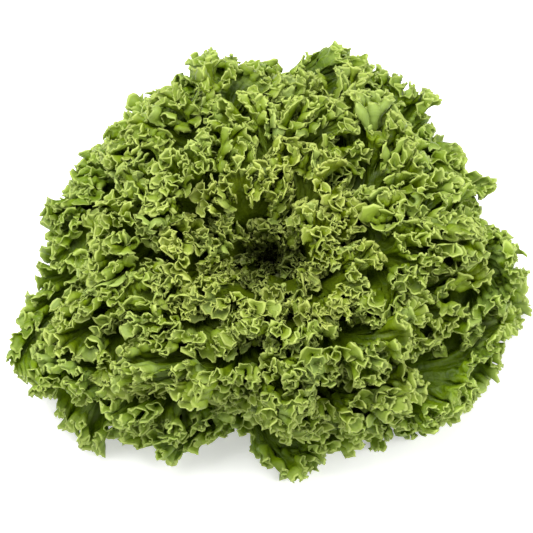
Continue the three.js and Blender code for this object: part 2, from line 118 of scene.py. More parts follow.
# Crests that roll over towards the inner face, and a margin that sways along itself: finer than the solids
ROLL_OUTER, ROLL_INNER, ROLL_DEPTH = 22, 17, 20
ROLL_STRENGTH, ROLL_SPREAD = 0.8, 0.4
ROLL_BACK, WAVE_ROLL_BACK = 0.15, 0.4  # how far a valley rolls the other way, as a share of a crest's roll
CREST_POWER = 1.2  # over 1, mostly the top of a crest rolls
OPEN_SIDE_ROLL = 0.4  # on the side that the head leans to, crests roll only this share
OPEN_SIDE_TO = (-0.7, 0.5)  # the side ends between these sines of the azimuth
SWAY_OUTER, SWAY_INNER, SWAY_DEPTH, SWAY_TURNS = 8, 4, 15, 1.6

# Where each row of draws starts
DRAW_LENGTH, DRAW_STRENGTH, DRAW_SPACING, DRAW_BIAS, DRAW_LOBE = 1, 11, 41, 71, 131
DRAW_ROLL, DRAW_SWAY, DRAW_SHIFT = 151, 161, 17
DRAW_TOOTH_PLACE, DRAW_TOOTH_HEIGHT = 400, 440
DRAW_RIPPLE_WAY, DRAW_RIPPLE_LENGTH, DRAW_RIPPLE_PHASE = 500, 510, 520
WAVE_STRENGTH_ROW, WAVE_REACH_ROW = 40, 80  # counted from the start of a wave's own draws

# The plan of the head: how much further than the rule it reaches, by azimuth in steps of 15 degrees from +X
PLAN = np.array(
    [0.11, -0.04, -0.075, 0.035, 0.085, 0.07, -0.05, 0.05, -0.035, -0.06, -0.07, -0.06]
    + [-0.11, 0.035, 0.055, 0.01, -0.13, -0.275, -0.24, -0.18, -0.18, -0.065, -0.015, 0.055]
)
PLAN_FROM, PLAN_FULL = 20, 95  # the plan takes hold between these distances from the axis

# Tips and notches of the outline that are too short for the plan: azimuth, reach beyond the plan, and width,
# with the angles in degrees
TIPS = [(14, -0.07, 5), (23, 0.08, 5), (158, -0.06, 5), (166, 0.04, 4), (188, -0.05, 4), (199, 0.04, 5)]
TIPS += [(236, -0.05, 5), (245, 0.04, 4), (264, -0.06, 5), (275, 0.07, 5), (289, -0.05, 5)]

# Slow swells that make the head uneven: wavelength, height, travel, push and phase
SWELLS = [
    (180, 7.5, (0.8, 0.5, 0.33), (0.2, -0.5, 0.84), 0.6),
    (130, 5, (-0.45, 0.85, 0.27), (0.75, 0.3, 0.59), 2.3),
    (100, 3.4, (0.3, 0.35, -0.89), (0.85, -0.45, 0.27), 4),
]
SWELLS_FROM, SWELLS_FULL = 30, 95  # they take hold between these distances from the foot of the axis
HEART_LEAN = 0.22  # towards -Y for each mm of height, between the same distances

# The floor, which the outer leaves settle on
FLOOR_FROM = 25  # no leaf is settled nearer the axis than this
FLOOR_GAP, FLOOR_SOFTNESS = 1.1, 10
FINE_FLOOR_GAP, FINE_FLOOR_SOFTNESS = 0.6, 1.5

# The finer waves of a margin, from the larger to the smaller. outer and inner are their lengths on the
# outermost and the innermost leaf. height, reach, overhang and roll are shares of that length. So is depth,
# for the innermost leaf and for the outermost: how far in from the margin a wave fades. frilled says between
# which shares of the way from the tip to the root a wave runs out, and draws where its own draws start.
WAVES = [
    dict(
        outer=12.0, inner=8.0, height=0.45, depth=(1.4, 1.2), reach=0.34,
        overhang=0.3, roll=0.25, frilled=(0.6, 0.92), draws=200,
    ),
    dict(
        outer=4.8, inner=3.8, height=0.34, depth=(0.9, 1.2), reach=0.16,
        overhang=0.16, roll=0.1, frilled=(0.7, 0.95), draws=300,
    ),
]
WAVE_SPREAD, WAVE_SPREAD_LENGTH = 0.35, 2.3  # how uneven their lengths are, and over how many lengths
WAVE_STRENGTH, WAVE_STRENGTH_SPREAD = 0.8, 0.35
WAVE_SHIFT, SHIFT_TURNS = 0.6, 0.7  # how far their crests wander, and draws for each wave
REACH_TURNS = 1.9  # draws for each wave
WAVE_STEPS = 3000  # round the margin, where the waves are counted

# Small rounded teeth along the margin, and larger ones on every few of them, that are deepest on open leaves
TOOTH_LENGTH, TOOTH_HEIGHT, TOOTH_DEPTH = 2.9, 1.7, 1.8
TOOTH_SHAPE = (0.7, 0.4)  # roundness, and the share of the height that is cut in
TOOTH_SHIFT, TOOTH_SHIFT_LENGTH = 0.8, 11  # how many teeth they wander, with a draw for each such length
TOOTH_SPREAD = 0.7
TOOTH_SIZE_INNER, TOOTH_SIZE_OUTER = 0.75, 1.15
TOOTHED_TO = (0.75, 0.98)  # they run out between these shares of the way from the tip to the root
LARGE_TEETH, LARGE_PHASE = 0.4, 0.4  # large teeth for each small one, and where the first begins
LARGE_SHAPE = (0.8, 0.3)
LARGE_HEIGHT, LARGE_OPEN_HEIGHT, LARGE_DEPTH = 0.6, 3.2, 3.6

# Blisters between the veins: ripples that cross one another
BLISTER = 2.0  # how far they rise or sink
RIPPLES, RIPPLES_REACH = 5, 2.2  # their sum rarely goes beyond this
RIPPLE_LENGTHS = (7, 14)
RIPPLE_PHASES = 6  # their phases are drawn between 0 and this
BLISTER_ASIDE = (3, 12)  # they grow between these distances from the midrib
BLISTER_ALONG = (0, 0.3)  # and between these shares of the leaf's length
BLISTER_FADE = 0.3

# Blade and rib
FACE = 0.5  # thickness of a real blade between its veins
RIB_OUTER, RIB_INNER = 4.6, 1.3
RIB_EASE = (0.3, 1)  # ribs thicken between these shares of the way from the innermost leaf outwards
RIB_WIDTH_OUTER, RIB_WIDTH_INNER = 11, 4.4
RIB_FLAT = 0.2  # share of the width up to which a rib keeps its thickness
RIB_FADE = 0.75  # share of the length at which the rib has run out

# The rings of a blade, from its margin to its midrib, and in how many of the margin's points each keeps one
RING_INSETS = [0, 0.02, 0.045, 0.08, 0.12, 0.17, 0.23, 0.3, 0.38, 0.47, 0.58, 0.69, 0.8, 0.9, 1]
RING_PARTS = [1, 2, 2, 2, 4, 4, 4, 8, 8, 8, 16, 16, 16, 16, 16]
MARGIN_STEP_OUTER, MARGIN_STEP_INNER = 0.58, 0.37  # from one of the margin's points to the next
PLAIN_SHARE, PLAIN_FROM = 0.3, (0.62, 0.85)  # fewer points near the root, where the margin is plain
LEAST_PARTS = 4  # parts of the innermost ring on each side of a leaf
MIRRORED_FROM = 0.35  # from this inset on, the two sides draw to mirrored places, to meet on the midrib

# Steps for directions, as shares of the way round the margin and in to the midrib
FLAT_STEP = 0.01
SHARE_STEP, INSET_STEP = 0.0008, 0.01
TINY = 1e-9  # in place of a length that is divided by and may be 0


# The rosette, by the same rules as the solids


def mix(a, b, t):
    return a + (b - a) * t


def smooth(a, b, t):
    """From 0 where t is a to 1 where it is b, with a soft start and end."""
    x = np.clip((t - a) / (b - a), 0, 1)
    return x * x * (3 - 2 * x)


def draw(i, j):
    """A repeatable draw between 0 and 1."""
    x = np.sin(i * 12.9898 + j * 78.233 + 4.137) * 43758.5453
    return x - np.floor(x)


def wander(i, turn, start):
    """A line that wanders between -1 and 1, with a new draw at each whole turn."""
    whole = np.floor(turn)
    return 2 * mix(draw(i, whole + start), draw(i, whole + 1 + start), smooth(0, 1, turn - whole)) - 1


def between(a, b, c, d, t):
    """The curve through b and c, with a before and d after them, at t from 0 to 1."""
    return b + 0.5 * t * (c - a + t * (2 * a - 5 * b + 4 * c - d + t * (3 * (b - c) + d - a)))


def soft_limit(t, sharpness=4):
    """Nearly t where t is small, and never past 1 or -1."""
    return t / (1 + np.abs(t) ** sharpness) ** (1 / sharpness)


def unit(vectors):
    """The vectors with a length of 1."""
    return vectors / np.maximum(TINY, np.linalg.norm(vectors, axis=-1, keepdims=True))


def with_size(x, y):
    """The two parts of a step, and its size."""
    return x, y, np.maximum(TINY, np.hypot(x, y))


def outwards(layer):
    """Share of the way from the innermost leaf, 0, to the outermost, 1."""
    return 1 - layer / (LEAF_COUNT - 1)


def meridian(layer, along):
    """The line that a leaf of this layer follows, in the plane through the axis: radius, height and lean."""
    out = outwards(layer)
    ease = np.sign(out) * np.abs(out) ** LEAN_EASE
    lean0 = np.radians(mix(INNER_LEANS[0], OUTER_LEANS[0], ease))
    lean1 = np.radians(mix(INNER_LEANS[1], OUTER_LEANS[1], ease))
    bend = (lean1 - lean0) / LEAN_REACH
    bend = np.where(np.abs(bend) < LEAST_BEND, LEAST_BEND, bend)
    lean = lean0 + bend * along
    rho = mix(INNER_ROOT[0], OUTER_ROOT[0], out) + (np.cos(lean0) - np.cos(lean)) / bend
    z = mix(INNER_ROOT[1], OUTER_ROOT[1], out) + (np.sin(lean) - np.sin(lean0)) / bend
    return rho, z, lean


def layer_pitch(layer, along):
    """The distance from one layer to the next."""
    lean = meridian(layer, along)[2]
    inner, outer = meridian(layer + 0.5, along), meridian(layer - 0.5, along)
    return (outer[0] - inner[0]) * np.cos(lean) - (outer[1] - inner[1]) * np.sin(lean)


def plan_stretch(azimuth):
    """How much further than the rule the head reaches, as a share."""
    turn = np.mod(azimuth / (2 * math.pi / len(PLAN)), len(PLAN))
    i = np.floor(turn).astype(int)
    stretch = between(*(PLAN[(i + o) % len(PLAN)] for o in (-1, 0, 1, 2)), turn - i)
    for degrees, reach, width in TIPS:
        apart = np.mod(np.degrees(azimuth) - degrees + 180, 360) - 180
        stretch = stretch + reach * np.exp(-((apart / width) ** 2))
    return stretch


def on_floor(q, gap, softness):
    """Points that would lie below the floor come to rest on it, but for those near the axis."""
    above = q[..., 2] - gap
    resting = gap + 0.5 * (above + np.sqrt(above * above + softness))
    q[..., 2] = np.where(np.hypot(q[..., 0], q[..., 1]) > FLOOR_FROM, resting, q[..., 2])
    return q


def settle(x, y, z):
    """Points of the even rosette, moved to where they lie in this head."""
    p = np.stack([x, y, z], -1)
    plan = 1 + plan_stretch(np.arctan2(y, x)) * smooth(PLAN_FROM, PLAN_FULL, np.hypot(x, y))
    q = np.stack([x * plan, y * plan, z], -1)
    share = smooth(SWELLS_FROM, SWELLS_FULL, np.linalg.norm(p, axis=-1))
    q[..., 1] -= HEART_LEAN * share * z
    for length, height, travel, push, phase in SWELLS:
        wave = np.sin(2 * math.pi * (p @ np.array(travel)) / length + phase)
        q = q + (height * share * wave)[..., None] * np.array(push)
    return on_floor(q, FLOOR_GAP, FLOOR_SOFTNESS)


def outline_at(share):
    """The outline at a share of the way from the tip, 0, to the root, 1."""
    last = len(OUTLINE) - 1
    padded = np.concatenate([[OUTLINE[1] * (-1, 1)], OUTLINE, [OUTLINE[-1]]])
    turn = np.clip(share, 0, 1) * last
    i = np.minimum(last - 1, np.floor(turn).astype(int))
    a, b, c, d = (padded[i + o] for o in range(4))
    found = between(a, b, c, d, (turn - i)[..., None])
    return found[..., 0], found[..., 1]


def sheath(layer, high):
    """How much wider than its outline a leaf is at a share of its length."""
    return (1 - outwards(layer)) * SHEATH * (1 - smooth(0, SHEATH_FADE, high))


def bowed(height, back):
    """How far the top of a crest bows over, and a valley the other way."""
    return np.maximum(0, height) ** CREST_POWER - back * np.maximum(0, -height)


class Leaf:
    """One leaf of the rosette, with its large folds. Along it, share runs round the margin, from the root at
    -1 past the tip at 0 to the root at 1, and inset from the margin, 0, to the midrib, 1."""

    def __init__(self, layer):
        self.layer, self.out = layer, outwards(layer)
        even = mix(INNER_LENGTH, OUTER_LENGTH, 1 - (1 - self.out) ** LENGTH_EASE)
        self.length = even * (1 + LENGTH_SPREAD * (2 * draw(layer, DRAW_LENGTH) - 1))
        self.azimuth = FIRST_AZIMUTH + layer * DIVERGENCE
        self.openness = smooth(OPEN_FROM, OPEN_FULL, self.out)
        self.fold_depth = mix(FOLD_DEPTH_INNER, FOLD_DEPTH_OUTER, self.out) * (1 - SHALLOWER * self.openness)
        self.start = self.leaves_stem_at()
        self.turns = self.fold_table()

    def leaves_stem_at(self):
        """How far along the leaf's line the stem ends, so that the blade starts just outside it."""
        along = np.linspace(0, STEM_SEARCH, SEARCH_STEPS + 1)
        rho, z, _ = meridian(self.layer, along)
        wall = np.interp(z, STEM_PROFILE[:, 1], STEM_PROFILE[:, 0]) + CLEARANCE + 0.5 * SOLID_BLADE
        clear = np.where(z < STEM_PROFILE[-1, 1] + CLEARANCE, rho >= wall, True)
        return float(along[np.argmax(clear)])

    def flat(self, share, inset):
        """A point of the flat leaf: angle, distance along, depth from the margin, and the whole way in."""
        outline, high = outline_at(np.abs(share))
        wide = outline + sheath(self.layer, high)
        top = high * self.length
        angle = np.sign(share) * wide * HALF_WIDTH
        rise = VEIN_RISE * top
        ray = np.hypot(angle * meridian(self.layer, top)[0], top - rise)
        return angle * (1 - inset), mix(top, rise, inset), ray * inset, ray

    def around(self, along):
        """The radius by which an angle about the axis becomes a width."""
        return np.maximum(LEAST_RHO, meridian(self.layer, along)[0])

    def fold_length(self, turn, along):
        """The length of the fold with this number, where the margin is this far along the leaf."""
        even = mix(FOLD_LENGTH_INNER, FOLD_LENGTH_OUTER, self.out)
        longer = mix(ROOT_FOLDS, 1, smooth(*ROOT_FOLDS_TO, along / self.length))
        return even * longer * (1 + FOLD_SPREAD * wander(self.layer, turn, DRAW_SPACING))

    def fold_table(self):
        """How many folds lie between the root and each step round the margin."""
        shares = np.linspace(-1, 1, TABLE_STEPS + 1)
        angle, along, _, _ = self.flat(shares, 0.0)
        rho = meridian(self.layer, along)[0]
        steps = np.hypot(np.diff(angle) * rho[1:], np.diff(along))
        table = [0.0]
        for step, here in zip(steps, along[1:]):
            table.append(table[-1] + step / self.fold_length(table[-1], here))
        table = np.array(table)
        count = 2 * round(table[-1] / 2)
        tip = table[TABLE_STEPS // 2]
        return 0.5 * count * np.where(table < tip, table / tip, 1 + (table - tip) / (table[-1] - tip))

    def fold_turn(self, share):
        """How many folds lie between the root and a share of the way round."""
        return np.interp(share, np.linspace(-1, 1, TABLE_STEPS + 1), self.turns)

    def rolled(self, angle):
        """How far the crests roll over the inner face: less on the side that the head leans to."""
        return mix(OPEN_SIDE_ROLL, 1, smooth(*OPEN_SIDE_TO, np.sin(self.azimuth + angle)))

    def room(self, azimuth, along, side):
        """The room that a leaf has, towards the inner leaves (side 1) or the outer ones (side -1)."""
        layers = np.full(np.shape(azimuth), MOST_LAYERS)
        for apart in COVERING:
            other = self.layer + side * apart
            real = (other >= 0) & (other < LEAF_COUNT)
            turn = azimuth - FIRST_AZIMUTH - other * DIVERGENCE
            high = along / self.length
            widening = mix(BOUND_AT_ROOT, 1, smooth(BOUND_FROM, BOUND_FULL, high))
            covered = WIDEST_HALF * np.minimum(1, widening + sheath(other, high)) + RAMP_FROM
            away = np.abs(turn - 2 * math.pi * np.round(turn / (2 * math.pi))) - covered
            layers = np.where(real, np.minimum(layers, apart / 2 + RAMP * np.maximum(0, away)), layers)
        on_leaf = np.maximum(0, along)
        open_way = np.maximum(0, layers * layer_pitch(self.layer, on_leaf) - 0.5 * SOLID_BLADE - FREE_AIR)
        hollow = HOLLOW_RADIUS * smooth(HOLLOW_FROM, HOLLOW_FULL, on_leaf)
        clear = AXIS_SHARE * np.maximum(0, meridian(self.layer, on_leaf)[0] - hollow)
        return np.where(side > 0, np.minimum(open_way, clear), open_way)

    def flat_ways(self, share, inset, rho):
        """The ways along the margin and inwards on the flat leaf, each as its two parts and its size."""
        angle, along, _, _ = self.flat(share, inset)
        further_in = self.flat(share, inset + FLAT_STEP)
        before, after = self.flat(share - FLAT_STEP, inset), self.flat(share + FLAT_STEP, inset)
        onward = with_size((after[0] - before[0]) * rho, after[1] - before[1])
        inward = with_size((further_in[0] - angle) * rho, further_in[1] - along)
        return onward, inward

    def base(self, share, inset):
        """The folded blade as in the solid, sampled finely, hanging over further, and with rolled crests."""
        angle, along, depth, ray = self.flat(share, inset)
        along = self.start + along * (1 - self.start / self.length)
        on_leaf = np.maximum(0, along)
        rho = self.around(along)
        turn = self.fold_turn(share)
        phase = 2 * math.pi * turn
        frilled = 1 - smooth(*FRILLED_TO, np.abs(share))
        fade = np.exp(-depth / self.fold_depth) * (1 - inset)

        # The folds, to and fro across the layers
        uneven = FOLD_STRENGTH_SPREAD * wander(self.layer, turn, DRAW_STRENGTH)
        strength = (1 - LOWER * self.openness) * frilled * (FOLD_STRENGTH + uneven)
        bias = frilled * FOLD_BIAS * wander(self.layer, BIAS_TURNS * turn, DRAW_BIAS)
        push = fade * (strength * np.sin(phase) + bias)
        open_way = self.room(self.azimuth + angle, along, np.where(push < 0, 1, -1))
        across = np.minimum(open_way, DEEPEST_FOLD * ray) * soft_limit(FOLD_FULLNESS * push)

        # Along the margin and past it: folds that hang over, the sway of the margin, and its lobes
        overhang = -FOLD_OVERHANG * (1 - UPRIGHT * self.openness) * self.fold_length(turn, along)
        swing = overhang * strength * fade**2 * np.sin(2 * phase)
        sway_reach = mix(SWAY_INNER, SWAY_OUTER, self.out)
        swaying = wander(self.layer, SWAY_TURNS * turn, DRAW_SWAY)
        sway = sway_reach * frilled * np.exp(-depth / SWAY_DEPTH) * (1 - inset) * swaying
        lobe_height = LOBE_HEIGHT * (1 + LOBED * self.openness)
        lobe = lobe_height * frilled * fade * wander(self.layer, LOBE_TURNS * turn, DRAW_LOBE)

        # The crests, which roll over
        rolled = self.rolled(angle)
        roll_uneven = ROLL_SPREAD * (2 - rolled) * wander(self.layer, turn, DRAW_ROLL)
        bow = bowed(-np.sin(phase), ROLL_BACK) * (rolled * (ROLL_STRENGTH + roll_uneven))
        roll_reach = mix(ROLL_INNER, ROLL_OUTER, self.out) * (1 - SHALLOWER * self.openness)
        roll = roll_reach * frilled * np.exp(-depth / ROLL_DEPTH) * (1 - inset) * bow

        (tx, ty, onward), (ix, iy, inward) = self.flat_ways(share, inset, rho)
        along = along + (swing + sway) * ty / onward + lobe * tx / onward + roll * iy / inward
        widest = WIDEST_HALF - SIDE_GAP / rho
        shift = ((swing + sway) * tx / onward + roll * ix / inward) / rho
        azimuth = self.azimuth + widest * soft_limit((angle + shift) / widest, SIDE_SHARPNESS)
        at_rho, at_z, _ = meridian(self.layer - across / layer_pitch(self.layer, on_leaf), along)
        return settle(at_rho * np.cos(azimuth), at_rho * np.sin(azimuth), at_z)


# The finer waves, the teeth and the blisters


def arc(points):
    """The distance from the first point to each, along their line."""
    return np.concatenate([[0], np.cumsum(np.linalg.norm(np.diff(points, axis=0), axis=1))])


class FineLeaf(Leaf):
    """A leaf with the finer waves laid on it, one on the other."""

    def __init__(self, layer):
        super().__init__(layer)
        self.shares = np.linspace(-1, 1, WAVE_STEPS + 1)
        self.waves = []
        for wave in WAVES:
            run = arc(self.surface(self.shares, np.zeros_like(self.shares), len(self.waves)))
            if not self.waves:
                self.margin = run
            even = mix(wave["inner"], wave["outer"], self.out)
            rate = 1 + WAVE_SPREAD * wander(self.layer, run / (WAVE_SPREAD_LENGTH * even), wave["draws"])
            turns = np.concatenate([[0], np.cumsum(np.diff(run) / (even * rate[1:]))])
            self.waves.append((wave, even, turns))

    def ways(self, share, inset, level, here):
        """The directions along the margin and inwards, on the blade with the first waves up to a level."""
        before, after = share - SHARE_STEP, share + SHARE_STEP
        onward = self.surface(after, inset, level) - self.surface(before, inset, level)
        inward = self.surface(share, inset + INSET_STEP, level) - here
        return unit(onward), unit(inward)

    def surface(self, share, inset, level):
        """The blade with the first waves up to a level laid on it."""
        if level == 0:
            return self.base(share, inset)
        here = self.surface(share, inset, level - 1)
        onward, inward = self.ways(share, inset, level - 1, here)
        normal = unit(np.cross(onward, inward))
        wave, even, table = self.waves[level - 1]
        turn = np.interp(share, self.shares, table)
        angle, _, depth, _ = self.flat(share, inset)
        frilled = 1 - smooth(*wave["frilled"], np.abs(share))
        fade = np.exp(-depth / (mix(*wave["depth"], self.out) * even))
        fade = fade * (1 - inset) * frilled * (1 - CALMER * self.openness)
        uneven = WAVE_STRENGTH_SPREAD * wander(self.layer, turn, wave["draws"] + WAVE_STRENGTH_ROW)
        strength = fade * (WAVE_STRENGTH + uneven)
        phase = 2 * math.pi * turn
        shifted = phase + WAVE_SHIFT * wander(self.layer, SHIFT_TURNS * turn, DRAW_SHIFT)
        push = wave["height"] * even * strength * np.sin(shifted)
        swing = -wave["overhang"] * even * strength * fade * np.sin(2 * phase)
        reaching = wander(self.layer, REACH_TURNS * turn, wave["draws"] + WAVE_REACH_ROW)
        reach = wave["reach"] * even * fade * reaching
        roll = wave["roll"] * even * fade * bowed(np.sin(phase), WAVE_ROLL_BACK) * self.rolled(angle) - reach
        return here + push[..., None] * normal + swing[..., None] * onward + roll[..., None] * inward


def teeth(turn, roundness, cut_in):
    """Rounded teeth with sharp notches between them, one for each turn."""
    return np.abs(np.sin(math.pi * turn)) ** roundness - cut_in


def tooth_reach(leaf, share, depth):
    """How far the teeth reach beyond the margin."""
    run = np.interp(share, leaf.shares, leaf.margin)
    shift = TOOTH_SHIFT * wander(leaf.layer, run / TOOTH_SHIFT_LENGTH, DRAW_TOOTH_PLACE)
    turn = run / TOOTH_LENGTH + shift
    toothed = 1 - smooth(*TOOTHED_TO, np.abs(share))
    height = TOOTH_HEIGHT * (1 + TOOTH_SPREAD * wander(leaf.layer, turn, DRAW_TOOTH_HEIGHT))
    height = height * mix(TOOTH_SIZE_INNER, TOOTH_SIZE_OUTER, leaf.out)
    small = height * toothed * teeth(turn, *TOOTH_SHAPE) * np.exp(-depth / TOOTH_DEPTH)
    large_height = toothed * mix(LARGE_HEIGHT, LARGE_OPEN_HEIGHT, leaf.openness)
    large = teeth(LARGE_TEETH * turn + LARGE_PHASE, *LARGE_SHAPE)
    return small + large_height * large * np.exp(-depth / LARGE_DEPTH)


def blister_height(leaf, aside, along, inset):
    """How far the blisters between the veins rise or sink."""
    height = np.zeros_like(aside)
    for k in range(RIPPLES):
        way = 2 * math.pi * draw(leaf.layer, DRAW_RIPPLE_WAY + k)
        length = mix(*RIPPLE_LENGTHS, draw(leaf.layer, DRAW_RIPPLE_LENGTH + k))
        run = aside * math.cos(way) + along * math.sin(way)
        phase = RIPPLE_PHASES * draw(leaf.layer, DRAW_RIPPLE_PHASE + k)
        height += np.sin(2 * math.pi * run / length + phase)
    full = BLISTER / RIPPLES_REACH * smooth(*BLISTER_ASIDE, np.abs(aside)) * (1 - inset) ** BLISTER_FADE
    return height * (full * smooth(*BLISTER_ALONG, along / leaf.length))


def blade_points(leaf, share, inset):
    """The middle of the fine blade, with its teeth and blisters."""
    points = leaf.surface(share, inset, len(WAVES))
    onward, inward = leaf.ways(share, inset, 1, leaf.surface(share, inset, 1))
    angle, along, depth, _ = leaf.flat(share, inset)
    tooth = tooth_reach(leaf, share, depth)
    blister = blister_height(leaf, angle * leaf.around(along), along, inset)
    points = points - tooth[..., None] * inward + blister[..., None] * np.cross(onward, inward)
    return on_floor(points, FINE_FLOOR_GAP, FINE_FLOOR_SOFTNESS)


# The mesh of a leaf


def ring_shares(leaf):
    """Where the points of the rings lie, as shares and insets, and each ring's first point and count."""
    fine = mix(PLAIN_SHARE, 1, 1 - smooth(*PLAIN_FROM, np.abs(leaf.shares)))
    steps = np.diff(leaf.margin) * fine[1:] / mix(MARGIN_STEP_INNER, MARGIN_STEP_OUTER, leaf.out)
    steps = np.concatenate([[0], np.cumsum(steps)])
    coarsest = RING_PARTS[-1]
    half = max(LEAST_PARTS, int(round(steps[-1] / (2 * coarsest)))) * coarsest
    count = 2 * half
    tip = np.interp(0, leaf.shares, steps)
    left = np.interp(np.linspace(0, tip, half + 1), steps, leaf.shares)
    right = np.interp(np.linspace(tip, steps[-1], half + 1), steps, leaf.shares)
    even = np.concatenate([left, right[1:]])
    even[0], even[half], even[-1] = -1, 0, 1
    mirrored = 0.5 * (even - even[::-1])
    shares, insets, starts, counts = [], [], [], []
    total = 0
    for inset, part in zip(RING_INSETS, RING_PARTS):
        share = mix(even, mirrored, smooth(MIRRORED_FROM, 1, inset))[::part]
        if inset == 1:
            # On the midrib the two sides meet, so one is enough
            share = share[: len(share) // 2 + 1]
        shares.append(share)
        insets.append(np.full(len(share), float(inset)))
        starts.append(total)
        counts.append(count // part)
        total += len(share)
    return np.concatenate(shares), np.concatenate(insets), starts, counts


def leaf_sheet(leaf):
    """The blade's points in rings from margin to midrib, the triangles between them, and its border."""
    share, inset, starts, counts = ring_shares(leaf)

    def number(ring, i):
        """The number of a point. The last ring is the midrib, whose two sides are sewn together."""
        count = counts[ring]
        return starts[ring] + (np.where(i > count // 2, count - i, i) if ring == len(starts) - 1 else i)

    triangles = []
    for ring in range(len(starts) - 1):
        if counts[ring] == counts[ring + 1]:
            i = np.arange(counts[ring])
            a, b = number(ring, i), number(ring, i + 1)
            c, d = number(ring + 1, i + 1), number(ring + 1, i)
            triangles += [np.stack([a, b, c], 1), np.stack([a, c, d], 1)]
        else:
            i = np.arange(counts[ring + 1])
            a, b, c = (number(ring, 2 * i + k) for k in range(3))
            d, e = number(ring + 1, i), number(ring + 1, i + 1)
            triangles += [np.stack([a, b, d], 1), np.stack([b, e, d], 1), np.stack([b, c, e], 1)]
    triangles = np.concatenate(triangles)
    a, b, c = triangles.T
    triangles = triangles[(a != b) & (b != c) & (a != c)]

    inner_rings = range(1, len(starts) - 1)
    ends = [starts[ring] + counts[ring] for ring in inner_rings]
    heads = [starts[ring] for ring in reversed(inner_rings)]
    border = np.array([*range(counts[0] + 1), *ends, starts[-1], *heads])
    return share, inset, triangles, border


def corner_normals(points, triangles):
    """The direction that the sheet faces at each point."""
    a, b, c = (points[triangles[:, k]] for k in range(3))
    face = np.cross(b - a, c - a)
    normals = np.zeros_like(points)
    for k in range(3):
        np.add.at(normals, triangles[:, k], face)
    return unit(normals)


def rib_height(leaf, aside, along):
    """The height of the midrib, as a share of its thickness."""
    wide = mix(RIB_WIDTH_INNER, RIB_WIDTH_OUTER, leaf.out)
    return (1 - smooth(0, RIB_FADE, along / leaf.length)) * (1 - smooth(RIB_FLAT, 1, np.abs(aside) / wide))


def towards_inner_face(leaf, normals, share, inset, along):
    """1 where the normals look up and towards the axis, as a leaf's inner face does, and otherwise -1."""
    middle = np.argmin(np.abs(share) + np.abs(inset - 0.5))
    azimuth, lean = leaf.azimuth, meridian(leaf.layer, along[middle])[2]
    axis_way = [-math.cos(azimuth) * math.cos(lean), -math.sin(azimuth) * math.cos(lean), math.sin(lean)]
    return 1.0 if normals[middle] @ np.array(axis_way) > 0 else -1.0


def add_object(name, data):
    """An object of the scene that shows this data."""
    thing = bpy.data.objects.new(name, data)
    bpy.context.scene.collection.objects.link(thing)
    return thing


def make_mesh(name, vertices, faces):
    """A smooth mesh of triangles, from points in mm."""
    mesh = bpy.data.meshes.new(name)
    mesh.vertices.add(len(vertices))
    mesh.vertices.foreach_set("co", (vertices * MM).astype(np.float32).ravel())
    mesh.loops.add(faces.size)
    mesh.loops.foreach_set("vertex_index", faces.astype(np.int32).ravel())
    mesh.polygons.add(len(faces))
    mesh.polygons.foreach_set("loop_start", np.arange(0, faces.size, 3, dtype=np.int32))
    mesh.polygons.foreach_set("use_smooth", np.ones(len(faces), bool))
    mesh.update(calc_edges=True)
    return mesh


VEINS_A_FOLD = 2


def add_attribute(mesh, name, inner, outer):
    """A value for each point of a leaf's inner face, and then of its outer face."""
    values = mesh.attributes.new(name, "FLOAT", "POINT")
    values.data.foreach_set("value", np.concatenate([inner, outer]).astype(np.float32))


# The flat map of a leaf: its inner face below and its outer face above
MAP_MARGIN, MAP_WIDTH, MAP_HEIGHT, MAP_UP = 0.02, 0.42, 0.45, 0.5
MAP_MIDDLE = (0.5, 0.25)  # of the inner face
MAP_RIM = 1.01  # the rim lies this far out round the inner face


def map_leaf(mesh, leaf, share, inset, faces, rim):
    """Lays the faces of a leaf's mesh out on its flat map."""
    outline, high = outline_at(np.abs(share))
    u = MAP_MIDDLE[0] + MAP_WIDTH * np.sign(share) * (outline + sheath(leaf.layer, high)) * (1 - inset)
    v = MAP_MARGIN + MAP_HEIGHT * mix(high, VEIN_RISE * high, inset)
    places = np.concatenate([np.stack([u, v], 1), np.stack([u, v + MAP_UP], 1)])
    corners = places[faces]
    out_u, out_v = (middle + (x - middle) * MAP_RIM for middle, x in zip(MAP_MIDDLE, (u, v)))
    rim_places = np.concatenate([np.stack([u, v], 1), np.stack([out_u, out_v], 1)])
    corners[-len(rim) :] = rim_places[rim]
    uv = mesh.uv_layers.new(name="OFBake")
    uv.data.foreach_set("uv", corners.astype(np.float32).ravel())


def shell_faces(triangles, border, count, up):
    """The triangles of a leaf's inner and outer face and of the rim between them, and the rim's alone."""
    inner = triangles if up > 0 else triangles[:, ::-1]
    a, b = border, np.roll(border, -1)
    rim = np.concatenate([np.stack([b, a, a + count], 1), np.stack([b, a + count, b + count], 1)])
    rim = rim if up > 0 else rim[:, ::-1]
    return np.concatenate([inner, inner[:, ::-1] + count, rim]), rim


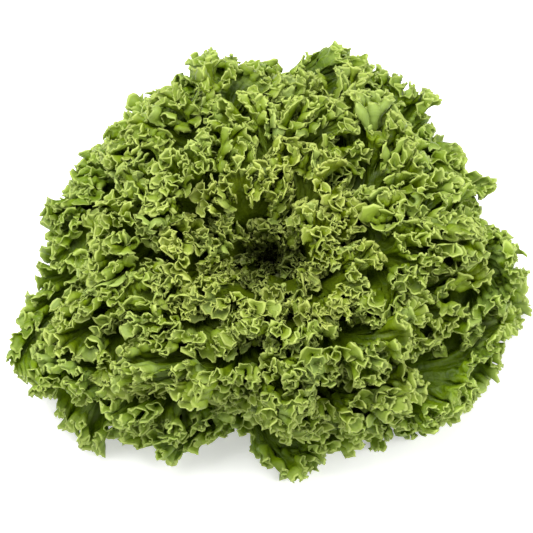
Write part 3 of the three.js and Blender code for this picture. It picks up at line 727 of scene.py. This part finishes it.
def make_leaf(layer):
    """A leaf: its fine blade with its midrib, as two faces and the rim between them."""
    name = f"leaf_{layer + 1:02d}_blade"
    leaf = FineLeaf(layer)
    share, inset, triangles, border = leaf_sheet(leaf)
    points = blade_points(leaf, share, inset)
    normals = corner_normals(points, triangles)
    angle, along, depth, _ = leaf.flat(share, inset)
    aside = angle * leaf.around(along)
    rib = rib_height(leaf, aside, along)
    thick = mix(RIB_INNER, RIB_OUTER, smooth(*RIB_EASE, leaf.out))
    below = 0.5 * FACE + (thick - FACE) * rib

    # The rib stands out on the outer face
    up = towards_inner_face(leaf, normals, share, inset, along)
    upper = points + up * normals * 0.5 * FACE
    lower = points - up * normals * below[:, None]
    count = len(points)
    faces, rim = shell_faces(triangles, border, count, up)
    mesh = make_mesh(name, np.concatenate([upper, lower]), faces)

    # What the materials need to know about each point of the two faces
    add_attribute(mesh, "edge", depth, depth)
    add_attribute(mesh, "across", aside, aside)
    add_attribute(mesh, "along", along, along)
    vein = VEINS_A_FOLD * leaf.fold_turn(share)
    add_attribute(mesh, "vein", vein, vein)
    add_attribute(mesh, "ribbed", rib, rib)
    everywhere = np.full(count, leaf.out)
    add_attribute(mesh, "outwards", everywhere, everywhere)
    add_attribute(mesh, "underside", np.zeros(count), np.ones(count))
    map_leaf(mesh, leaf, share, inset, faces, rim)
    return add_object(name, mesh)


# Materials


class Nodes:
    """A short way to write a material's nodes."""

    def __init__(self, name):
        self.material = bpy.data.materials.new(name)
        self.material.use_nodes = True
        self.tree = self.material.node_tree
        self.tree.nodes.clear()

    def add(self, kind, inputs=None, **settings):
        node = self.tree.nodes.new(kind)
        for key, value in settings.items():
            setattr(node, key, value)
        for key, value in (inputs or {}).items():
            self.set(node.inputs[key], value)
        return node

    def set(self, socket, value):
        """Links the socket to another one, or gives it a value."""
        if isinstance(value, bpy.types.NodeSocket):
            self.tree.links.new(value, socket)
        else:
            socket.default_value = value

    def attribute(self, name):
        return self.add("ShaderNodeAttribute", attribute_name=name).outputs["Fac"]

    def noise(self, **inputs):
        return self.add("ShaderNodeTexNoise", inputs).outputs["Fac"]

    def cells(self, place, scale):
        """The distance to the edges of a net of cells."""
        inputs = {"Vector": place, "Scale": scale}
        return self.add("ShaderNodeTexVoronoi", inputs, feature="DISTANCE_TO_EDGE").outputs["Distance"]

    def math(self, operation, a, b=0.0):
        node = self.add("ShaderNodeMath", operation=operation)
        self.set(node.inputs[0], a)
        self.set(node.inputs[1], b)
        return node.outputs[0]

    def range(self, value, low, high, to_low=0.0, to_high=1.0):
        """The value taken softly from one range to another, and never past its ends."""
        node = self.add("ShaderNodeMapRange", interpolation_type="SMOOTHSTEP")
        given = {"Value": value, "From Min": low, "From Max": high, "To Min": to_low, "To Max": to_high}
        for key, setting in given.items():
            self.set(node.inputs[key], setting)
        return node.outputs[0]

    def mix(self, factor, a, b):
        node = self.add("ShaderNodeMix", data_type="RGBA")
        self.set(node.inputs[0], factor)
        self.set(node.inputs[6], a)
        self.set(node.inputs[7], b)
        return node.outputs[2]

    def finish(self, shader):
        """The material, with this shader as its surface."""
        self.add("ShaderNodeOutputMaterial", {"Surface": shader.outputs[0]})
        return self.material


def colour(r, g, b):
    """A colour given as a picture shows it, from 0 to 255."""
    return tuple(((c / 255 + 0.055) / 1.055) ** 2.4 for c in (r, g, b)) + (1.0,)


FRESH = colour(156, 186, 20)
# Painted shade, for the blade away from the margin
SHADED = colour(36, 54, 2)
# Painted sheen, in whitish patches
PAINTED_SHEEN = colour(168, 190, 112)
# Painted shade for the leaves of the heart, which lie in the shaded hollow
PAINTED_HEART_SHADE = colour(26, 36, 2)
MIDRIB = colour(206, 216, 150)
UNDERSIDE = colour(150, 176, 60)
LIT_THROUGH = colour(186, 214, 30)
GLOSS = 0.2
TRANSLUCENT = 0.32
FACES_APART = 40.0  # so that the two faces of a blade differ
# By the distance from the margin: its pale line, the glow round it, and where veins, painted shade and
# painted sheen begin
RIM_LINE, RIM_GLOW = (1.15, 0.35), (5.0, 0.5)
VEINS_FROM, SHADE_FROM, SHEEN_FROM = (2.0, 14.0), (3.0, 20.0), (26.0, 6.0)

FLESH, PALE_FLESH, BROWNED = colour(196, 204, 146), colour(226, 230, 190), colour(150, 112, 62)
# In metres: where the ring of vessels begins and ends, and how far up the cut face shows
VESSELS_FROM, VESSELS_TO = (0.009, 0.0105), (0.0125, 0.011)
CUT_TO = (0.0012, 0.0002)


def vein_lines(n, vein, edge, net, fine_net):
    """The side veins, which run out at the margin, and with them the net of veins between them."""
    side_vein = n.math("ABSOLUTE", n.math("SUBTRACT", n.math("FRACT", vein), 0.5))
    side_line = n.range(side_vein, 0.42, 0.49)
    side_line = n.math("MULTIPLY", side_line, n.range(edge, *VEINS_FROM, 0.0, 0.8))
    net_line = n.range(net, 0.11, 0.03, 0.0, 0.55)
    net_line = n.math("MAXIMUM", net_line, n.range(fine_net, 0.1, 0.02, 0.0, 0.3))
    return side_line, n.math("MAXIMUM", side_line, net_line)


def leaf_bumps(n, net, fine_net, grain, side_line):
    """Cells that bulge between the veins."""
    height = n.math("MULTIPLY", n.range(net, 0.0, 0.3), 0.5)
    height = n.math("ADD", height, n.math("MULTIPLY", n.range(fine_net, 0.0, 0.25), 0.18))
    height = n.math("ADD", height, n.math("MULTIPLY", grain, 0.12))
    height = n.math("SUBTRACT", height, n.math("MULTIPLY", side_line, 0.35))
    return n.add("ShaderNodeBump", {"Strength": 0.55, "Distance": 0.0007, "Height": height}).outputs[0]


def leaf_material(name, dark, light, edge_colour):
    """Leaf green. edge, across and along are distances in mm from the margin, the midrib and the root."""
    n = Nodes(name)
    edge, across, along = n.attribute("edge"), n.attribute("across"), n.attribute("along")
    vein, ribbed, under = n.attribute("vein"), n.attribute("ribbed"), n.attribute("underside")
    apart = n.math("MULTIPLY", under, FACES_APART)
    place = n.add("ShaderNodeCombineXYZ", {"X": across, "Y": along, "Z": apart}).outputs[0]
    patches = n.noise(Vector=place, Scale=0.035, Detail=4.0, Roughness=0.6)
    grain = n.noise(Vector=place, Scale=0.9, Detail=3.0, Roughness=0.6)
    net, fine_net = n.cells(place, 0.2), n.cells(place, 0.55)

    # Patches of dark and light green, a fine grain, and veins a little lighter
    blade = n.mix(n.range(patches, 0.3, 0.7), dark, light)
    blade = n.mix(n.range(grain, 0.35, 0.75, 0.0, 0.16), blade, FRESH)
    side_line, veins = vein_lines(n, vein, edge, net, fine_net)
    blade = n.mix(n.math("MULTIPLY", veins, 0.4), blade, FRESH)

    # Painted shade, darker away from the margin, and pale on the margin itself
    blade = n.mix(n.range(edge, *SHADE_FROM), blade, n.mix(0.6, blade, SHADED))
    # The pale margin and the glow round it are partly the leaf's own paler edge and partly a painted
    # highlight
    rim = n.math("MAXIMUM", n.range(edge, *RIM_LINE), n.range(edge, *RIM_GLOW, 0.0, 0.3))
    rim = n.math("MULTIPLY", rim, n.range(patches, 0.36, 0.6, 0.75, 1.0))
    blade = n.mix(rim, blade, edge_colour)

    # Whitish patches of painted sheen, painted shade on the leaves of the heart, the pale midrib, and the
    # duller underside
    sheen_patches = n.noise(Vector=place, Scale=0.045, Detail=2.0, Roughness=0.5, Distortion=0.6)
    sheen_patches = n.math("MULTIPLY", n.range(sheen_patches, 0.52, 0.66, 0.0, 0.42), n.range(edge, *SHEEN_FROM))
    blade = n.mix(sheen_patches, blade, PAINTED_SHEEN)
    # Painted shade: the innermost leaves darkened, as the hollow lies in shade
    blade = n.mix(n.range(n.attribute("outwards"), 0.16, 0.06, 0.0, 0.75), blade, PAINTED_HEART_SHADE)
    blade = n.mix(n.range(ribbed, 0.45, 0.95), blade, MIDRIB)
    blade = n.mix(n.math("MULTIPLY", under, 0.18), blade, UNDERSIDE)

    # A skin with a soft gloss, and light that comes through
    bump = leaf_bumps(n, net, fine_net, grain, side_line)
    rough = n.range(grain, 0.3, 0.7, 0.34, 0.5)
    skin = n.add(
        "ShaderNodeBsdfPrincipled",
        {"Base Color": blade, "Roughness": rough, "Specular IOR Level": GLOSS, "Normal": bump},
    )
    lit = n.mix(0.35, blade, LIT_THROUGH)
    through = n.add("ShaderNodeBsdfTranslucent", {"Color": lit, "Normal": bump})
    both = n.add("ShaderNodeMixShader", {0: TRANSLUCENT, 1: skin.outputs[0], 2: through.outputs[0]})
    return n.finish(both)


def stem_material():
    """Pale flesh with fibres, browned on the cut face and in its ring of vessels."""
    n = Nodes("stem_flesh")
    place = n.add("ShaderNodeTexCoord").outputs["Object"]
    spread = n.add("ShaderNodeSeparateXYZ", {0: place}).outputs
    streaks = n.add("ShaderNodeMapping", {"Vector": place, "Scale": (1.0, 1.0, 0.15)}).outputs[0]
    fibre = n.noise(Vector=streaks, Scale=420.0, Detail=5.0)
    spots = n.noise(Vector=place, Scale=90.0, Detail=4.0)
    flesh = n.mix(fibre, FLESH, PALE_FLESH)
    squares = n.math("ADD", n.math("POWER", spread[0], 2.0), n.math("POWER", spread[1], 2.0))
    radius = n.math("SQRT", squares)
    ring = n.math("MULTIPLY", n.range(radius, *VESSELS_FROM), n.range(radius, *VESSELS_TO))
    cut = n.range(spread[2], *CUT_TO)
    spotted = n.range(spots, 0.45, 0.75, 0.15, 0.6)
    browned = n.math("MULTIPLY", cut, n.math("ADD", n.math("MULTIPLY", ring, 0.55), spotted))
    flesh = n.mix(browned, flesh, BROWNED)
    height = n.math("ADD", n.math("MULTIPLY", fibre, 0.6), n.math("MULTIPLY", spots, 0.4))
    bump = n.add("ShaderNodeBump", {"Strength": 0.5, "Distance": 0.0006, "Height": height}).outputs[0]
    rough = n.range(spots, 0.3, 0.7, 0.45, 0.7)
    skin = n.add("ShaderNodeBsdfPrincipled", {"Base Color": flesh, "Roughness": rough, "Normal": bump})
    return n.finish(skin)


# The stem
STEM_SIDES = 96
CUT_RINGS = (0.35, 0.7, 0.92)  # rings on the cut face, as shares of its radius
FOOT_TOP, FOOT_ROWS = 3, 8  # the rounded foot has closer rows
LAST_ROW, UPPER_ROWS = 40.6, 33
LEAST_RADIUS = 0.4
RIDGES = [(0.3, 8, 0.12, 0), (0.2, 13, -0.2, 1)]  # height, count, twist for each mm, and phase
RIDGES_FROM = (1, 6)  # the ridges start between these heights
DENT = 0.35  # how far the stem is drawn in between them


def stem_rings():
    """The rings of points up the stem, from the middle of its cut face to its tip."""
    turn = np.arange(STEM_SIDES) / STEM_SIDES * 2 * math.pi
    foot = np.linspace(0, FOOT_TOP, FOOT_ROWS)
    heights = np.concatenate([foot, np.linspace(FOOT_TOP, LAST_ROW, UPPER_ROWS)[1:]])
    radii = np.interp(heights, STEM_PROFILE[:, 1], STEM_PROFILE[:, 0])
    sizes = [(share * STEM_PROFILE[0, 0], 0.0) for share in CUT_RINGS]
    for radius, height in zip(radii, heights):
        ridges = sum(
            high * np.sin(count * turn + twist * height + phase) for high, count, twist, phase in RIDGES
        )
        shown = smooth(*RIDGES_FROM, height)
        dent = np.minimum(0, ridges * shown - DENT * shown)
        sizes.append((np.maximum(LEAST_RADIUS, radius + dent), height))
    return [
        np.stack([radius * np.cos(turn), radius * np.sin(turn), np.full(STEM_SIDES, height)], 1)
        for radius, height in sizes
    ]


def make_stem():
    """The cut stem, with the ridges that run down it from the leaves."""
    rings = stem_rings()
    vertices = np.concatenate([[[0, 0, 0]], *rings, [[0, 0, STEM_PROFILE[-1, 1]]]])
    i = np.arange(STEM_SIDES)
    j = (i + 1) % STEM_SIDES
    faces = [np.stack([np.zeros(STEM_SIDES, int), 1 + j, 1 + i], 1)]
    for r in range(len(rings) - 1):
        a, b = 1 + r * STEM_SIDES, 1 + (r + 1) * STEM_SIDES
        faces += [np.stack([a + i, a + j, b + j], 1), np.stack([a + i, b + j, b + i], 1)]
    a = 1 + (len(rings) - 1) * STEM_SIDES
    faces.append(np.stack([a + i, a + j, np.full(STEM_SIDES, len(vertices) - 1)], 1))
    return add_object("stem_flesh", make_mesh("stem_flesh", vertices, np.concatenate(faces)))


stem = make_stem()
stem.data.materials.append(stem_material())
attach(stem, "root")
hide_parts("stem")

# The groups of leaves, from the outermost in: the last leaf of each, and its dark, light and edge green
GROUPS = {
    # The outer leaves' greens are a little lighter than the others': painted light, for their brighter rim
    "outer_leaf": (13, (68, 96, 3), (119, 145, 12), (196, 213, 114)),
    "middle_leaf": (27, (69, 91, 3), (115, 134, 11), (194, 208, 112)),
    "inner_leaf": (LEAF_COUNT, (74, 91, 3), (120, 133, 12), (196, 206, 110)),
}
greens = {}
for group, (_, *tones) in GROUPS.items():
    greens[group] = leaf_material(group, *(colour(*tone) for tone in tones))
for layer in range(LEAF_COUNT):
    number = layer + 1
    group = next(name for name, (last, *_) in GROUPS.items() if number <= last)
    piece = make_leaf(layer)
    piece.data.materials.append(greens[group])
    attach(piece, "root")
    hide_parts(f"leaf_{number:02d}")


def floor_material():
    """White all over, and a little bright of itself, as in the photograph."""
    n = Nodes("floor_white")
    white = n.mix(n.noise(Scale=40.0), (0.93, 0.93, 0.93, 1), (0.95, 0.95, 0.95, 1))
    skin = n.add(
        "ShaderNodeBsdfPrincipled",
        {"Base Color": white, "Roughness": 0.9, "Emission Color": white, "Emission Strength": 0.3},
    )
    return n.finish(skin)


# The floor. From here on, lengths are in metres
FAR = 4
floor_mesh = bpy.data.meshes.new("floor")
floor_mesh.from_pydata([(-FAR, -FAR, 0), (FAR, -FAR, 0), (FAR, FAR, 0), (-FAR, FAR, 0)], [], [(0, 1, 2, 3)])
floor = add_object("floor", floor_mesh)
floor.data.materials.append(floor_material())


def add_light(name, place, aim, size, power):
    """A square light, aimed at a point."""
    data = bpy.data.lights.new(name, "AREA")
    data.size = size
    data.energy = power
    lamp = add_object(name, data)
    lamp.location = place
    lamp.rotation_mode = "QUATERNION"
    lamp.rotation_quaternion = (Vector(aim) - Vector(place)).to_track_quat("-Z", "Y")


# Soft light from above, a little from the front, and some on either side
add_light("key", (-0.2, 0.38, 1.45), (0, 0, 0.06), 1.2, 36)
add_light("front", (0.1, -1.2, 0.9), (0, 0, 0.05), 1.0, 5)
add_light("fill_right", (1.2, -0.2, 0.85), (0, 0, 0.05), 1.0, 14)
add_light("fill_left", (-1.2, -0.1, 0.8), (0, 0, 0.05), 1.0, 9)
world = bpy.data.worlds.new("studio")
world.use_nodes = True
sky = world.node_tree.nodes["Background"].inputs
sky["Color"].default_value = (1, 1, 1, 1)
sky["Strength"].default_value = 0.36
bpy.context.scene.world = world
bpy.context.scene.view_settings.view_transform = "Standard"

# The camera at the photograph's angle
ELEVATION = math.radians(66)
DISTANCE = 1.15
LENS, SENSOR = 124, 36
AIM = np.array([-0.0006, -0.011, 0.0586])
camera_data = bpy.data.cameras.new("camera")
camera_data.sensor_width = SENSOR
camera_data.lens = LENS
camera = add_object("camera", camera_data)
camera.location = AIM + DISTANCE * np.array([0, -math.cos(ELEVATION), math.sin(ELEVATION)])
camera.rotation_euler = (math.pi / 2 - ELEVATION, 0, 0)
bpy.context.scene.camera = camera
